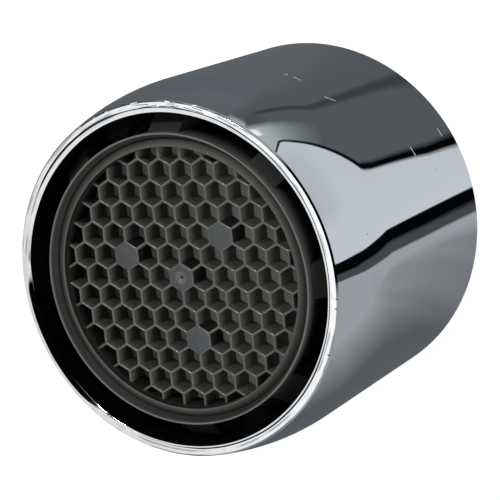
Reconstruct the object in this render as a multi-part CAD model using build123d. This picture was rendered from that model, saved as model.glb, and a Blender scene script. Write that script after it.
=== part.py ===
from build123d import *
import math
import os

# Tap aerator with an internal thread, standing on its inlet end with the outlet upwards.
# Millimetres, +Z from the inlet face at zero to the outlet rim. Water flows upwards in this frame.

# Shell: one turned and plated brass sleeve, bored through at the thread's minor diameter
BORE_DIAMETER = 20.9
BODY_WALL = 1.55
BODY_LENGTH = 20.0
SHOULDER_LENGTH = 6.2
RIM_WIDTH = 0.75
RIM_OUTER_CHAMFER = 0.17
RIM_LEAD_WIDTH = 0.25
RIM_LEAD_DEPTH = 0.14
INLET_CHAMFER = 0.15
THREAD_LENGTH = 7.5
THREAD_ENTRY_CHAMFER = 0.6
WASHER_CHAMBER_RELIEF = 0.35
LEDGE_THICKNESS = 1.2

# Sealing washer
WASHER_THICKNESS = 1.8
WASHER_WIDTH = 2.9

# Insert sleeve: flange, tube, air slots and the two pockets for the loose plates
AIR_GAP = 1.25
SLEEVE_WALL = 0.95
SLEEVE_LIP_WIDTH = 0.27
SLEEVE_BELOW_RIM = 0.2
FLANGE_THICKNESS = 1.3
AIR_SLOT_COUNT = 8
AIR_SLOT_WIDTH = 3.4
AIR_SLOT_HEIGHT = 2.4
AIR_SLOT_ABOVE_LEDGE = 0.3

# Jet plate: a ring of narrow slots throws fine jets along the sleeve's wall
JET_PLATE_THICKNESS = 1.1
JET_COUNT = 20
JET_WIDTH = 0.6
JET_LENGTH = 1.5
JET_EDGE = 0.5
JET_BOSS_DIAMETER = 7.0
JET_BOSS_HEIGHT = 0.8
JET_BOSS_CHAMFER = 0.4

# Strainer: a low sieve cap inside the washer's bore
STRAINER_RIM_THICKNESS = 0.6
STRAINER_CAP_HEIGHT = 1.2
STRAINER_WALL = 0.6
STRAINER_SIEVE_THICKNESS = 0.6
STRAINER_PITCH = 2.5
STRAINER_HOLE_FLATS = 1.8

# Outlet honeycomb: hexagonal cells with four filled ones, in a ring of its own
CELL_PITCH = 1.525
WEB_WIDTH = 0.17
HONEYCOMB_BELOW_RIM = 1.0
HONEYCOMB_DEPTH = 1.66
RING_LIP_WIDTH = 0.25
RING_LIP_HEIGHT = 0.4
RING_BAND_DEPTH = 0.1
EDGE_CELL_REACH = 0.3
GATE_DIMPLE_DIAMETER = 0.7
GATE_DIMPLE_DEPTH = 0.12
GATE_PIN_HOLE_DIAMETER = 0.16
GATE_PIN_HOLE_DEPTH = 0.3
FILLED_CELLS = [(0, 0), (-2, -1), (3, -2), (-1, 3)]

# Mixing grid: hexagonal holes set off the honeycomb's cells, so that no jet runs straight through
GRID_THICKNESS = 0.85
GRID_HOLE_FLATS = 0.8
GRID_HOLE_OFFSET = 0.38
GRID_SOLID_EDGE = 1.0

# Clearances
WASHER_CLEARANCE = 0.15
FLANGE_CLEARANCE = 0.2
LEDGE_CLEARANCE = 0.15
PLATE_CLEARANCE = 0.05
STRAINER_CLEARANCE = 0.2

# Radii
bore_radius = BORE_DIAMETER / 2
body_radius = bore_radius + BODY_WALL
rim_radius = bore_radius + RIM_WIDTH
chamber_radius = bore_radius + WASHER_CHAMBER_RELIEF
sleeve_radius = bore_radius - AIR_GAP
sleeve_bore_radius = sleeve_radius - SLEEVE_WALL
honeycomb_radius = sleeve_bore_radius
ledge_radius = sleeve_radius + LEDGE_CLEARANCE
flange_radius = bore_radius - FLANGE_CLEARANCE
washer_radius = bore_radius - WASHER_CLEARANCE
washer_bore_radius = washer_radius - WASHER_WIDTH
pocket_radius = sleeve_radius - SLEEVE_LIP_WIDTH
plate_radius = pocket_radius - PLATE_CLEARANCE
strainer_cap_radius = washer_bore_radius - STRAINER_CLEARANCE

# Heights above the inlet face
washer_bottom = THREAD_LENGTH
flange_bottom = washer_bottom + WASHER_THICKNESS
ledge_bottom = flange_bottom + FLANGE_THICKNESS
ledge_top = ledge_bottom + LEDGE_THICKNESS
jet_plate_bottom = flange_bottom + STRAINER_RIM_THICKNESS
jet_plate_top = jet_plate_bottom + JET_PLATE_THICKNESS
strainer_top = jet_plate_bottom
strainer_bottom = flange_bottom - STRAINER_CAP_HEIGHT
air_slot_middle = ledge_top + AIR_SLOT_ABOVE_LEDGE + AIR_SLOT_HEIGHT / 2
sleeve_top = BODY_LENGTH - SLEEVE_BELOW_RIM
honeycomb_top = BODY_LENGTH - HONEYCOMB_BELOW_RIM
honeycomb_bottom = honeycomb_top - HONEYCOMB_DEPTH
grid_top = honeycomb_bottom
grid_bottom = grid_top - GRID_THICKNESS


def turned(points):
    """A solid of revolution about Z from an outline of radius and height pairs."""
    outline = Polyline(*points, close=True)
    return revolve(make_face(Plane.XZ * outline), Axis.Z)


def disc(radius, bottom, top):
    """A plain cylinder about Z between two heights."""
    return extrude(Plane.XY.offset(bottom) * Circle(radius), top - bottom)


def cell_centre(column, row, pitch):
    """Centre of a cell in a lattice whose cells have two upright sides; rows count downwards."""
    return Vector((column + row / 2) * pitch, -row * pitch * math.sqrt(3) / 2)


def lattice(pitch, reach, shift=Vector(0, 0), without=()):
    """Cell centres within reach of the axis, moved by shift, leaving out the named cells."""
    span = int(2 * reach / pitch) + 2
    centres = []
    for row in range(-span, span + 1):
        for column in range(-span, span + 1):
            centre = cell_centre(column, row, pitch) + shift
            if centre.length < reach and (column, row) not in without:
                centres.append(centre)
    return centres


def hexagons(centres, flats, plane):
    """Hexagons with two upright sides at the given centres, as one sketch."""
    outline = RegularPolygon(flats / math.sqrt(3), 6, rotation=30)
    return plane * (Sketch() + [Pos(c.X, c.Y) * outline for c in centres])


def make_shell():
    """Body with the threaded bore, the washer's chamber, the insert's ledge and a drawn-in outlet."""
    shoulder_bottom = BODY_LENGTH - SHOULDER_LENGTH
    rim_edge = BODY_LENGTH - RIM_OUTER_CHAMFER
    shoulder_run = rim_edge - shoulder_bottom
    shoulder_drop = body_radius - rim_radius
    shoulder_arc = (shoulder_run ** 2 + shoulder_drop ** 2) / (2 * shoulder_drop)
    half_sweep = math.asin(shoulder_run / shoulder_arc) / 2
    shoulder_middle = (
        body_radius - shoulder_arc * (1 - math.cos(half_sweep)),
        shoulder_bottom + shoulder_arc * math.sin(half_sweep),
    )
    shoulder = ThreePointArc((body_radius, shoulder_bottom), shoulder_middle, (rim_radius, rim_edge))
    inside_and_base = Polyline(
        (rim_radius, rim_edge),
        (rim_radius - RIM_OUTER_CHAMFER, BODY_LENGTH),
        (bore_radius + RIM_LEAD_WIDTH, BODY_LENGTH),
        (bore_radius, BODY_LENGTH - RIM_LEAD_DEPTH),
        (bore_radius, ledge_top),
        (ledge_radius, ledge_top),
        (ledge_radius, ledge_bottom),
        (chamber_radius, ledge_bottom),
        (chamber_radius, THREAD_LENGTH),
        (bore_radius, THREAD_LENGTH),
        (bore_radius, THREAD_ENTRY_CHAMFER),
        (bore_radius + THREAD_ENTRY_CHAMFER, 0),
        (body_radius - INLET_CHAMFER, 0),
        (body_radius, INLET_CHAMFER),
        (body_radius, shoulder_bottom),
    )
    return revolve(make_face(Plane.XZ * Curve([shoulder, inside_and_base])), Axis.Z)


def make_washer():
    """Flat rubber ring between the tap's spout and the insert's flange."""
    ring = disc(washer_radius, washer_bottom, flange_bottom)
    return ring - disc(washer_bore_radius, washer_bottom, flange_bottom)


def make_sleeve():
    """Insert tube with its flange, a pocket at each end and a ring of air slots."""
    tube = turned([
        (pocket_radius, flange_bottom),
        (flange_radius, flange_bottom),
        (flange_radius, ledge_bottom),
        (sleeve_radius, ledge_bottom),
        (sleeve_radius, sleeve_top),
        (pocket_radius, sleeve_top),
        (pocket_radius, grid_bottom),
        (sleeve_bore_radius, grid_bottom),
        (sleeve_bore_radius, jet_plate_top),
        (pocket_radius, jet_plate_top),
    ])
    window = Rectangle(AIR_SLOT_WIDTH, AIR_SLOT_HEIGHT)
    for place in PolarLocations(0, AIR_SLOT_COUNT):
        outwards = place * Pos(0, 0, air_slot_middle) * Plane.YZ
        tube -= extrude(outwards * window, ledge_radius)
    return tube


def make_jet_plate():
    """Disc with a ring of radial jet slots and a low boss that turns the flow outwards."""
    plate = disc(plate_radius, jet_plate_bottom, jet_plate_top)
    boss = disc(JET_BOSS_DIAMETER / 2, jet_plate_top, jet_plate_top + JET_BOSS_HEIGHT)
    plate += chamfer(boss.edges().group_by(Axis.Z)[-1], JET_BOSS_CHAMFER)
    slot_middle = sleeve_bore_radius - JET_EDGE - JET_LENGTH / 2
    slots = Sketch() + [
        place * Rectangle(JET_LENGTH, JET_WIDTH) for place in PolarLocations(slot_middle, JET_COUNT)
    ]
    return plate - extrude(Plane.XY.offset(jet_plate_bottom) * slots, JET_PLATE_THICKNESS)


def make_strainer():
    """Sieve cap whose rim the washer traps against the jet plate."""
    cap_inner_radius = strainer_cap_radius - STRAINER_WALL
    cap = turned([
        (0, strainer_bottom),
        (strainer_cap_radius, strainer_bottom),
        (strainer_cap_radius, flange_bottom),
        (plate_radius, flange_bottom),
        (plate_radius, strainer_top),
        (cap_inner_radius, strainer_top),
        (cap_inner_radius, strainer_bottom + STRAINER_SIEVE_THICKNESS),
        (0, strainer_bottom + STRAINER_SIEVE_THICKNESS),
    ])
    centres = lattice(STRAINER_PITCH, cap_inner_radius - STRAINER_HOLE_FLATS / math.sqrt(3))
    holes = hexagons(centres, STRAINER_HOLE_FLATS, Plane.XY.offset(strainer_bottom))
    return cap - extrude(holes, STRAINER_SIEVE_THICKNESS)


def make_mixing_grid():
    """Disc behind the honeycomb; each hole lies to one side of the cell in front of it."""
    offset = Vector(GRID_HOLE_OFFSET, 0)
    reach = sleeve_bore_radius - GRID_SOLID_EDGE - GRID_HOLE_FLATS / math.sqrt(3)
    holes = hexagons(lattice(CELL_PITCH, reach, offset), GRID_HOLE_FLATS, Plane.XY.offset(grid_bottom))
    return disc(plate_radius, grid_bottom, grid_top) - extrude(holes, GRID_THICKNESS)


def make_honeycomb():
    """Flow straightener: a ring, thin webs, and four filled cells with a gate mark in the middle one."""
    ring = turned([
        (honeycomb_radius, honeycomb_bottom),
        (plate_radius, honeycomb_bottom),
        (plate_radius, honeycomb_top - RING_BAND_DEPTH),
        (honeycomb_radius + RING_LIP_WIDTH, honeycomb_top - RING_BAND_DEPTH),
        (honeycomb_radius + RING_LIP_WIDTH, honeycomb_top + RING_LIP_HEIGHT),
        (honeycomb_radius, honeycomb_top + RING_LIP_HEIGHT),
    ])
    back = Plane.XY.offset(honeycomb_bottom)
    ring_middle = (honeycomb_radius + plate_radius) / 2
    centres = lattice(CELL_PITCH, honeycomb_radius + EDGE_CELL_REACH, without=FILLED_CELLS)
    cells = hexagons(centres, CELL_PITCH - WEB_WIDTH, back)
    webs = back * Circle(ring_middle) - (cells & back * Circle(honeycomb_radius))
    gate = turned([
        (0, honeycomb_top),
        (GATE_DIMPLE_DIAMETER / 2, honeycomb_top),
        (GATE_PIN_HOLE_DIAMETER / 2, honeycomb_top - GATE_DIMPLE_DEPTH),
        (GATE_PIN_HOLE_DIAMETER / 2, honeycomb_top - GATE_PIN_HOLE_DEPTH),
        (0, honeycomb_top - GATE_PIN_HOLE_DEPTH),
    ])
    return ring + extrude(webs, HONEYCOMB_DEPTH) - gate


pieces = {
    "shell": make_shell(),
    "sealing_washer": make_washer(),
    "strainer": make_strainer(),
    "jet_plate": make_jet_plate(),
    "insert_sleeve": make_sleeve(),
    "mixing_grid": make_mixing_grid(),
    "outlet_honeycomb": make_honeycomb(),
}
os.makedirs("parts", exist_ok=True)
for name, solid in pieces.items():
    export_step(solid, f"parts/{name}.step")
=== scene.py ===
"""Looks of a tap aerator that stands on its inlet end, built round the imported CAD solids.

Every size is in millimetres until a piece is settled, when its mesh is brought to metres.
"""

import logging
import math
from collections.abc import Callable, Sequence
from dataclasses import asdict, dataclass, field
from enum import Enum
from typing import NamedTuple

import bpy
import numpy as np
from mathutils import Matrix, Vector


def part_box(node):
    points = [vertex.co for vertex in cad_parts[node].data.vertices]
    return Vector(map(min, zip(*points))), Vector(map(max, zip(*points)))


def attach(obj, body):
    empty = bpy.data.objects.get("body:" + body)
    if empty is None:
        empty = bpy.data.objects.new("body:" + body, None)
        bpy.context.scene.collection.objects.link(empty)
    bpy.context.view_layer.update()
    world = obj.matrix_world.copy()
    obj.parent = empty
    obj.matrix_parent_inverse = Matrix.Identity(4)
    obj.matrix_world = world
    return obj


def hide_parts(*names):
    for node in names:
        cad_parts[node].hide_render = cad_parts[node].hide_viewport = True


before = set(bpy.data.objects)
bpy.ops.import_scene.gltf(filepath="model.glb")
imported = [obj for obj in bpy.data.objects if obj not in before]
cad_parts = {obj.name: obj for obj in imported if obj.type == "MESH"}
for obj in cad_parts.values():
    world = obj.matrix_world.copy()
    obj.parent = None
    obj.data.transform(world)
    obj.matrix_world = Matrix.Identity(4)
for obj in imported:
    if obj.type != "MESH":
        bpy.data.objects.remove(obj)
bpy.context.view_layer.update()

MM = 0.001
TURN = 2.0 * math.pi
ROOT3 = math.sqrt(3.0)
LOG = logging.getLogger("tap_aerator")

Pair = tuple[float, float]
Colour = tuple[float, float, float]
Place = tuple[float, float, float]


class OutlineKind(Enum):
    """Whether a turned outline is a ring clear of the axis or starts and ends on the axis."""

    RING = "ring"
    CORE = "core"


class RepeatKind(Enum):
    """Whether a repeated shape is cut out of a blank or grown on it."""

    OPENING = "DIFFERENCE"
    RIB = "UNION"


class Corner(NamedTuple):
    """A corner of a turned outline: radius, height and rounding, in mm."""

    radius: float
    height: float
    rounding: float = 0.0


def linear(red: int, green: int, blue: int) -> Colour:
    """Scene-linear colour from 8-bit display values.

    Args:
        red: Red, 0 to 255.
        green: Green, 0 to 255.
        blue: Blue, 0 to 255.

    Returns:
        The three linear values.
    """
    def channel(value: int) -> float:
        """One linear channel."""
        share = value / 255.0
        return share / 12.92 if share <= 0.04045 else ((share + 0.055) / 1.055) ** 2.4

    return channel(red), channel(green), channel(blue)


def smooth_step(low: float, high: float, value: np.ndarray) -> np.ndarray:
    """Zero below low, one above high and an even bend between them."""
    share = np.clip((value - low) / (high - low), 0.0, 1.0)
    return share * share * (3.0 - 2.0 * share)


def outward(heading: float, rise: float) -> Vector:
    """Unit vector towards a heading from +X to +Y and a rise above the horizon, in degrees."""
    turn, lift = math.radians(heading), math.radians(rise)
    return Vector((math.cos(lift) * math.cos(turn), math.cos(lift) * math.sin(turn), math.sin(lift)))


def linked(name: str, data: bpy.types.ID) -> bpy.types.Object:
    """A new object that holds the data and is linked to the scene."""
    made = bpy.data.objects.new(name, data)
    bpy.context.scene.collection.objects.link(made)
    return made


def rounded(
    corners: Sequence[Corner], kind: OutlineKind, steps: int = 4, support: float = 0.03
) -> list[Pair]:
    """Rounds an outline's corners and adds support points beside them on the straight runs.

    Args:
        corners: The corners in order.
        kind: RING closes the outline, CORE leaves its two ends on the axis.
        steps: Facets of each rounding.
        support: Distance in mm of a support point from the rounding.

    Returns:
        Radius and height pairs in the same order.
    """
    count = len(corners)
    most_of_run = 0.45
    bends: list[list[Vector]] = []
    for index, corner in enumerate(corners):
        here = Vector((corner.radius, corner.height))
        on_axis = kind is OutlineKind.CORE and index in (0, count - 1)
        if on_axis or corner.rounding == 0.0:
            bends.append([here])
            continue
        back = Vector(corners[index - 1][:2]) - here
        ahead = Vector(corners[(index + 1) % count][:2]) - here
        half = back.angle(ahead) / 2.0
        reach = min(corner.rounding / math.tan(half), most_of_run * back.length, most_of_run * ahead.length)
        bend = reach * math.tan(half)
        middle = here + (back.normalized() + ahead.normalized()).normalized() * (bend / math.sin(half))
        start = here + back.normalized() * reach - middle
        stop = here + ahead.normalized() * reach - middle
        sweep = start.angle(stop)
        bends.append([
            middle + (math.sin((1 - t) * sweep) * start + math.sin(t * sweep) * stop) / math.sin(sweep)
            for t in (step / steps for step in range(steps + 1))
        ])
    points: list[Pair] = []
    for index, bend_points in enumerate(bends):
        points.extend((p.x, p.y) for p in bend_points)
        follower = (index + 1) % count
        last_of_core = kind is OutlineKind.CORE and follower == 0
        plain = corners[index].rounding == 0.0 and corners[follower].rounding == 0.0
        if last_of_core or plain:
            continue
        run = bends[follower][0] - bend_points[-1]
        if run.length > 4.0 * support:
            along = run.normalized() * support
            points.append(tuple(bend_points[-1] + along))
            points.append(tuple(bends[follower][0] - along))
    return points


def lathe(name: str, outline: Sequence[Pair], kind: OutlineKind, segments: int) -> bpy.types.Object:
    """Turns an outline about Z into a closed mesh object, in mm.

    Args:
        name: Name of the object.
        outline: Radius and height pairs, in either direction.
        kind: RING for a ring, CORE for an outline whose ends lie on the axis.
        segments: Steps round the axis.

    Returns:
        The new object, linked to the scene.
    """
    ring = np.array(outline, float)
    following = np.roll(ring, -1, axis=0)
    area = float(np.sum(ring[:, 0] * following[:, 1] - following[:, 0] * ring[:, 1]))
    if area < 0.0:
        ring = ring[::-1]
    core = kind is OutlineKind.CORE
    swept = ring[1:-1] if core else ring
    count = len(swept)
    angles = np.arange(segments) * TURN / segments
    cosine, sine = np.cos(angles)[:, None], np.sin(angles)[:, None]
    places = np.stack(
        [cosine * swept[:, 0], sine * swept[:, 0], np.broadcast_to(swept[:, 1], (segments, count))], axis=2
    ).reshape(-1, 3)
    vertices = [tuple(p) for p in places]
    rows = count - 1 if core else count
    columns = [(turn * count, (turn + 1) % segments * count) for turn in range(segments)]
    faces: list[tuple[int, ...]] = []
    for here, there in columns:
        for row in range(rows):
            after = (row + 1) % count
            faces.append((here + row, there + row, there + after, here + after))
    if core:
        low, high = len(vertices), len(vertices) + 1
        vertices += [(0.0, 0.0, float(ring[0, 1])), (0.0, 0.0, float(ring[-1, 1]))]
        for here, there in columns:
            faces.append((low, there, here))
            faces.append((here + count - 1, there + count - 1, high))
    mesh = bpy.data.meshes.new(name)
    mesh.from_pydata(vertices, [], faces)
    mesh.update()
    return linked(name, mesh)


def turned(name: str, corners: Sequence[Corner], kind: OutlineKind, segments: int) -> bpy.types.Object:
    """A turned object from an outline whose corners get rounded."""
    return lathe(name, rounded(corners, kind), kind, segments)


def face_middles(mesh: bpy.types.Mesh) -> tuple[np.ndarray, np.ndarray]:
    """Radii and middles of a mesh's faces."""
    middles = np.empty(len(mesh.polygons) * 3)
    mesh.polygons.foreach_get("center", middles)
    middles = middles.reshape(-1, 3)
    return np.hypot(middles[:, 0], middles[:, 1]), middles


class NodeBench:
    """A geometry or shader node tree that is built call by call."""

    def __init__(self, tree: bpy.types.NodeTree) -> None:
        """Keeps the tree that the nodes go into."""
        self.tree = tree

    def feed(self, socket: bpy.types.NodeSocket, value: object) -> None:
        """Links a socket to the input, or writes a plain value on it."""
        if isinstance(value, bpy.types.NodeSocket):
            self.tree.links.new(value, socket)
        else:
            socket.default_value = value

    def add(
        self, kind: str, inputs: dict[str | int, object] | None = None, **settings: object
    ) -> bpy.types.Node:
        """Adds a node.

        Args:
            kind: Blender's node type.
            inputs: Values or sockets by input name or number.
            settings: Properties of the node.

        Returns:
            The node.
        """
        node = self.tree.nodes.new(kind)
        for key, value in settings.items():
            setattr(node, key, value)
        for key, value in (inputs or {}).items():
            self.feed(node.inputs[key], value)
        return node

    def math(self, operation: str, *values: object) -> bpy.types.NodeSocket:
        """The result of a Math node on up to three values."""
        return self.add("ShaderNodeMath", dict(enumerate(values)), operation=operation).outputs[0]

    def vector(self, operation: str, *values: object) -> bpy.types.NodeSocket:
        """The vector that a Vector Math node gives."""
        node = self.add("ShaderNodeVectorMath", dict(enumerate(values)), operation=operation)
        return node.outputs["Vector"]

    def measure(self, operation: str, *values: object) -> bpy.types.NodeSocket:
        """The number that a Vector Math node gives."""
        node = self.add("ShaderNodeVectorMath", dict(enumerate(values)), operation=operation)
        return node.outputs["Value"]

    def combine(self, **axes: object) -> bpy.types.NodeSocket:
        """A vector from values for X, Y and Z."""
        return self.add("ShaderNodeCombineXYZ", axes).outputs[0]

    def lift(self, geometry: bpy.types.NodeSocket, height: object) -> bpy.types.NodeSocket:
        """Geometry moved up by a height."""
        moved = {"Geometry": geometry, "Translation": self.combine(Z=height)}
        return self.add("GeometryNodeTransform", moved).outputs[0]

    def remap(
        self, value: object, low: float, high: float, first: float = 0.0, last: float = 1.0
    ) -> bpy.types.NodeSocket:
        """A value carried from one range to another and held at its ends."""
        return self.add("ShaderNodeMapRange", {"Value": value, 1: low, 2: high, 3: first, 4: last}).outputs[0]

    def noise(self, place: bpy.types.NodeSocket, scale: float, detail: float) -> bpy.types.NodeSocket:
        """A noise pattern, with its scale per metre."""
        return self.add("ShaderNodeTexNoise", {"Vector": place, "Scale": scale, "Detail": detail}).outputs[0]

    def mix(self, share: object, one: object, two: object) -> bpy.types.NodeSocket:
        """A colour between two colours or sockets."""
        ends = [value if isinstance(value, bpy.types.NodeSocket) else (*value, 1.0) for value in (one, two)]
        inputs = {"Factor": share, 6: ends[0], 7: ends[1]}
        return self.add("ShaderNodeMix", inputs, data_type="RGBA").outputs[2]

    def bump(self, height: bpy.types.NodeSocket, depth: float) -> bpy.types.NodeSocket:
        """A normal tilted by a height pattern, with its depth in metres."""
        inputs = {"Height": height, "Strength": 1.0, "Distance": depth}
        return self.add("ShaderNodeBump", inputs).outputs[0]

    def socket(self, name: str, kind: str) -> None:
        """Declares a named input of a node group."""
        self.tree.interface.new_socket(name=name, in_out="INPUT", socket_type=kind)


def new_material(name: str) -> tuple[bpy.types.Material, NodeBench, bpy.types.Node]:
    """A new material with its bench and its shader."""
    made = bpy.data.materials.new(name)
    made.use_nodes = True
    return made, NodeBench(made.node_tree), made.node_tree.nodes["Principled BSDF"]


class RepeatTree:
    """A geometry node tree that cuts a repeated opening out of a turned blank or grows ribs on it."""

    def __init__(self, name: str, inputs: dict[str, str]) -> None:
        """Starts the tree.

        Args:
            name: Name of the tree.
            inputs: Socket type by input name, besides the blank and the finish.
        """
        self.bench = NodeBench(bpy.data.node_groups.new(name, "GeometryNodeTree"))
        self.bench.socket("Blank", "NodeSocketGeometry")
        for label, kind in inputs.items():
            self.bench.socket(label, kind)
        self.bench.socket("Finish", "NodeSocketMaterial")
        self.bench.tree.interface.new_socket(name="Piece", in_out="OUTPUT", socket_type="NodeSocketGeometry")
        self.given = self.bench.add("NodeGroupInput").outputs

    def close(self, shapes: bpy.types.NodeSocket, kind: RepeatKind) -> None:
        """Brings the shapes and the blank together and ends in a real mesh with its finish."""
        bench = self.bench
        cut = bench.add("GeometryNodeMeshBoolean", operation=kind.value, solver="EXACT")
        bench.feed(cut.inputs["Mesh 1" if kind is RepeatKind.OPENING else "Mesh 2"], self.given["Blank"])
        bench.feed(cut.inputs["Mesh 2"], shapes)
        real = bench.add("GeometryNodeRealizeInstances", {0: cut.outputs[0]})
        dressed = bench.add("GeometryNodeSetMaterial", {0: real.outputs[0], "Material": self.given["Finish"]})
        bench.add("NodeGroupOutput", {0: dressed.outputs[0]})

    def run(self, blank: bpy.types.Object, values: dict[str, object], finish: bpy.types.Material) -> None:
        """Works a blank and leaves a plain mesh.

        Args:
            blank: The turned object.
            values: Input values by name.
            finish: Material of the piece.
        """
        modifier = blank.modifiers.new("repeats", "NODES")
        modifier.node_group = self.bench.tree
        identifiers = {item.name: item.identifier for item in self.bench.tree.interface.items_tree}
        for label, value in (values | {"Finish": finish}).items():
            modifier[identifiers[label]] = value
        graph = bpy.context.evaluated_depsgraph_get()
        solid = bpy.data.meshes.new_from_object(blank.evaluated_get(graph))
        blank.modifiers.clear()
        before = blank.data
        blank.data = solid
        bpy.data.meshes.remove(before)


@dataclass(frozen=True)
class HexField:
    """A field of hexagonal openings with two upright sides, in mm."""

    pitch: float
    flats: float
    bottom: float
    top: float
    reach: float
    clip_radius: float
    rounding: float
    foot_rounding: float
    shift: Pair = (0.0, 0.0)
    filled: tuple[tuple[int, int], ...] = ()

    def centre(self, column: int, row: int) -> Place:
        """Centre of a cell; rows count downwards."""
        return (
            (column + row / 2.0) * self.pitch + self.shift[0],
            -row * self.pitch * ROOT3 / 2.0 + self.shift[1],
            0.0,
        )

    def values(self) -> dict[str, object]:
        """Input values of the hexagon tree."""
        given = {label: getattr(self, label.lower().replace(" ", "_")) for label in HexTree.SIZES}
        given["Shift"] = (*self.shift, 0.0)
        places = [self.centre(*cell) for cell in self.filled]
        places += [HexTree.NOWHERE] * (len(HexTree.FILLED) - len(places))
        return given | dict(zip(HexTree.FILLED, places))


class HexTree(RepeatTree):
    """Cuts a lattice of hexagonal openings with rounded edges."""

    SIZES = ("Pitch", "Flats", "Bottom", "Top", "Reach", "Clip Radius", "Rounding", "Foot Rounding")
    FILLED = ("Filled 1", "Filled 2", "Filled 3", "Filled 4")
    NOWHERE = (1000.0, 1000.0, 0.0)
    SPAN = 24
    OVERSHOOT = 0.15
    SAME_PLACE = 0.1
    SEAL = 0.0005
    DRUM_STEPS = 180
    BENDS = (0.0, 22.5, 45.0, 67.5, 90.0)

    def __init__(self) -> None:
        """Builds the tree: lattice points, one cutter on each, trimmed to a circle."""
        inputs = dict.fromkeys(self.SIZES, "NodeSocketFloat")
        super().__init__("hex_openings", inputs | dict.fromkeys(("Shift", *self.FILLED), "NodeSocketVector"))
        bench, given = self.bench, self.given
        parts = {"Points": self._centres(), "Instance": self._cutter()}
        stood = bench.add("GeometryNodeInstanceOnPoints", parts)
        cutters = bench.add("GeometryNodeRealizeInstances", {0: stood.outputs[0]})
        tall = bench.math("MULTIPLY", given["Top"], 4.0)
        drum = bench.add(
            "GeometryNodeMeshCylinder",
            {"Vertices": self.DRUM_STEPS, "Radius": given["Clip Radius"], "Depth": tall},
        )
        trimmed = bench.add("GeometryNodeMeshBoolean", operation="INTERSECT", solver="EXACT")
        bench.feed(trimmed.inputs["Mesh 2"], cutters.outputs[0])
        bench.feed(trimmed.inputs["Mesh 2"], drum.outputs["Mesh"])
        self.close(trimmed.outputs[0], RepeatKind.OPENING)

    def _centres(self) -> bpy.types.NodeSocket:
        """Lattice points within reach, without the filled cells."""
        bench, given = self.bench, self.given
        sides = {f"Size {axis}": float(self.SPAN) for axis in "XY"}
        sides |= {f"Vertices {axis}": self.SPAN + 1 for axis in "XY"}
        grid = bench.add("GeometryNodeMeshGrid", sides).outputs["Mesh"]
        place = bench.add("GeometryNodeInputPosition").outputs[0]
        axes = bench.add("ShaderNodeSeparateXYZ", {0: place}).outputs
        skewed = bench.math("SUBTRACT", axes["X"], bench.math("MULTIPLY", axes["Y"], 0.5))
        across = bench.math("MULTIPLY", skewed, given["Pitch"])
        upward = bench.math("MULTIPLY", bench.math("MULTIPLY", axes["Y"], ROOT3 / 2.0), given["Pitch"])
        shifted = bench.vector("ADD", bench.combine(X=across, Y=upward), given["Shift"])
        lattice = bench.add("GeometryNodeSetPosition", {"Geometry": grid, "Position": shifted}).outputs[0]
        unwanted = bench.math("GREATER_THAN", bench.measure("LENGTH", place), given["Reach"])
        for label in self.FILLED:
            near = bench.math("LESS_THAN", bench.measure("DISTANCE", place, given[label]), self.SAME_PLACE)
            unwanted = bench.math("MAXIMUM", unwanted, near)
        kept = {"Geometry": lattice, "Selection": unwanted}
        return bench.add("GeometryNodeDeleteGeometry", kept, domain="POINT").outputs[0]

    def _cutter(self) -> bpy.types.NodeSocket:
        """One hexagonal cutter that flares at both faces, so that the edges come out rounded."""
        bench, given = self.bench, self.given
        half = bench.math("DIVIDE", given["Flats"], ROOT3)
        corner = 2.0 / ROOT3
        bends = [(1.0 - math.cos(a), 1.0 - math.sin(a)) for a in map(math.radians, self.BENDS)]
        levels = [("Bottom", "Foot Rounding", 0.0, 1.0, -self.OVERSHOOT)]
        levels += [("Bottom", "Foot Rounding", depth, widening, 0.0) for depth, widening in bends]
        levels += [("Top", "Rounding", -depth, widening, 0.0) for depth, widening in reversed(bends)]
        levels.append(("Top", "Rounding", 0.0, 1.0, self.OVERSHOOT))
        rings = []
        for face, bend, depth, widening, extra in levels:
            height = bench.math("ADD", given[face], bench.math("MULTIPLY_ADD", given[bend], depth, extra))
            rings.append((height, bench.math("MULTIPLY_ADD", given[bend], corner * widening, half)))
        joined = bench.add("GeometryNodeJoinGeometry")
        for (low, low_radius), (high, high_radius) in zip(rings, rings[1:]):
            band = bench.add(
                "GeometryNodeMeshCone",
                {"Vertices": 6, "Radius Bottom": low_radius, "Radius Top": high_radius,
                 "Depth": bench.math("SUBTRACT", high, low)},
                fill_type="NONE",
            )
            bench.feed(joined.inputs[0], bench.lift(band.outputs["Mesh"], low))
        for height, radius, turned_over in ((*rings[0], True), (*rings[-1], False)):
            hexagon = {"Vertices": 6, "Radius": radius}
            lid = bench.add("GeometryNodeMeshCircle", hexagon, fill_type="NGON").outputs[0]
            if turned_over:
                lid = bench.add("GeometryNodeFlipFaces", {0: lid}).outputs[0]
            bench.feed(joined.inputs[0], bench.lift(lid, height))
        seal = {0: joined.outputs[0], "Distance": self.SEAL}
        sealed = bench.add("GeometryNodeMergeByDistance", seal).outputs[0]
        upright = {"Geometry": sealed, "Rotation": (0.0, 0.0, math.radians(30.0))}
        return bench.add("GeometryNodeTransform", upright).outputs[0]


@dataclass(frozen=True)
class SlotRing:
    """A ring of square-cornered slots or ribs round the axis, in mm."""

    count: int
    radius: float
    along: float
    across: float
    tall: float
    height: float

    def values(self) -> dict[str, object]:
        """Input values of the slot tree."""
        return {label.title(): value for label, value in asdict(self).items()}


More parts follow.
